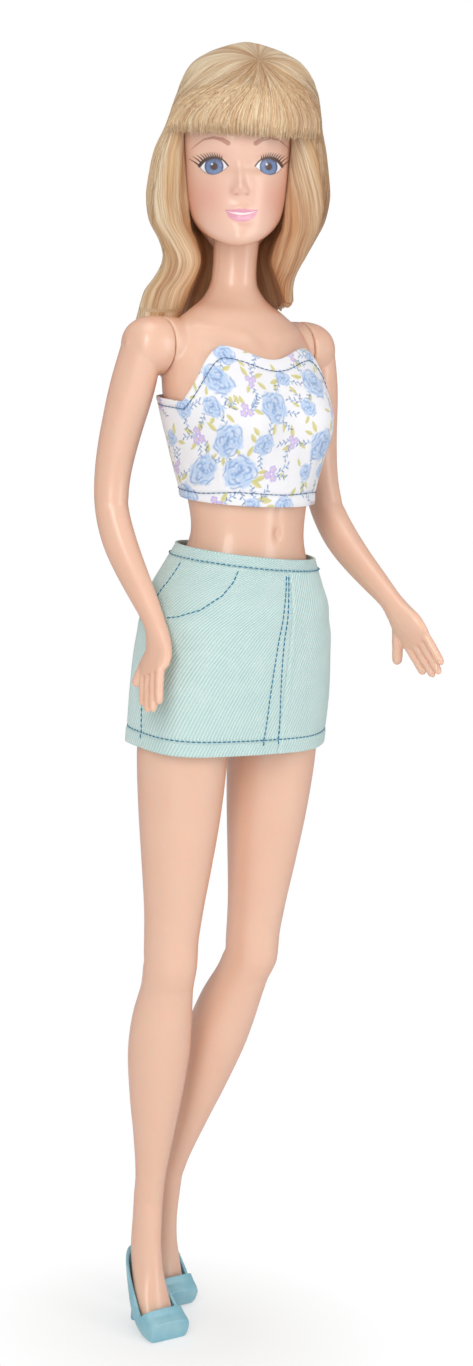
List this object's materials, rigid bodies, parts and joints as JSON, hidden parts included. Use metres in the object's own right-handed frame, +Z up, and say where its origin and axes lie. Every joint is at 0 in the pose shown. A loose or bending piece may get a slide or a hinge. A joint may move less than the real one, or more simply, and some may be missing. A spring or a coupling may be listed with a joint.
{
  "type": "fashion doll",
  "caption": "Slender fashion doll with jointed neck, shoulders, hips and knees, rooted long hair with a fringe, strapless printed top, mini skirt and high-heeled pumps.",
  "frame": {"origin": "centre of the bare waist, where a display stand's clip holds the doll, 189 mm above the soles", "axes": "+Z up along the standing doll, -Y the way its chest faces, +X towards the doll's left arm"},
  "size_m": [0.0656, 0.0662, 0.297],
  "materials": {
    "skin_vinyl": "satin",
    "head_vinyl": "satin",
    "hard_plastic": "matte",
    "hair": "silky strands",
    "printed_cotton": "matt printed weave",
    "mint_twill": "matt twill",
    "fastener_tape": "matt",
    "shoe_plastic": "satin"
  },
  "bodies": {
    "torso": {"torso_front": "skin_vinyl", "torso_back": "skin_vinyl", "neck_knob": "hard_plastic", "right_hip_peg": "hard_plastic", "left_hip_peg": "hard_plastic", "crop_top": "printed_cotton", "top_loop_strip": "fastener_tape", "top_hook_strip": "fastener_tape", "skirt": "mint_twill", "skirt_waistband": "mint_twill", "skirt_loop_strip": "fastener_tape", "skirt_hook_strip": "fastener_tape"},
    "head": {"head_shell": "head_vinyl", "hair_crown": "hair", "hair_fringe": "hair", "hair_left_lock": "hair", "hair_back": "hair", "hair_right_lock": "hair"},
    "right_arm": {"right_arm": "skin_vinyl", "right_shoulder_peg": "hard_plastic"},
    "right_thigh": {"right_thigh": "skin_vinyl", "right_thigh_core": "hard_plastic", "right_knee_pin": "hard_plastic", "right_knee_skin": "skin_vinyl"},
    "right_shin": {"right_shin": "skin_vinyl", "right_shin_core": "hard_plastic", "right_shoe": "shoe_plastic"},
    "left_arm": {"left_arm": "skin_vinyl", "left_shoulder_peg": "hard_plastic"},
    "left_thigh": {"left_thigh": "skin_vinyl", "left_thigh_core": "hard_plastic", "left_knee_pin": "hard_plastic", "left_knee_skin": "skin_vinyl"},
    "left_shin": {"left_shin": "skin_vinyl", "left_shin_core": "hard_plastic", "left_shoe": "shoe_plastic"}
  },
  "joints": [
    {"name": "head_turn", "type": "hinge", "parent": "torso", "child": "head", "pos_m": [0, 0.0126, 0.064], "axis": [0, 0, 1], "range_deg": [-55, 125], "deforming": ["hair_left_lock", "hair_back", "hair_right_lock"]},
    {"name": "right_arm_swing", "type": "hinge", "parent": "torso", "child": "right_arm", "pos_m": [-0.0194, 0.0118, 0.0411], "axis": [-1, 0, 0], "continuous": true},
    {"name": "left_arm_swing", "type": "hinge", "parent": "torso", "child": "left_arm", "pos_m": [0.0194, 0.0118, 0.0411], "axis": [-1, 0, 0], "continuous": true},
    {"name": "right_hip_swing", "type": "hinge", "parent": "torso", "child": "right_thigh", "pos_m": [-0.013, 0.0015, -0.037], "axis": [-1, 0, 0], "range_deg": [-15, 75], "deforming": ["skirt"]},
    {"name": "left_hip_swing", "type": "hinge", "parent": "torso", "child": "left_thigh", "pos_m": [0.013, 0.0015, -0.037], "axis": [-1, 0, 0], "range_deg": [-15, 75], "deforming": ["skirt"]},
    {"name": "right_knee_bend", "type": "hinge", "parent": "right_thigh", "child": "right_shin", "pos_m": [-0.01162, 0.0015, -0.098], "axis": [1, 0, 0], "range_deg": [-8.4, 80], "deforming": ["right_knee_skin"]},
    {"name": "left_knee_bend", "type": "hinge", "parent": "left_thigh", "child": "left_shin", "pos_m": [0.01162, 0.0015, -0.098], "axis": [1, 0, 0], "range_deg": [-17, 73], "deforming": ["left_knee_skin"]}
  ]
}
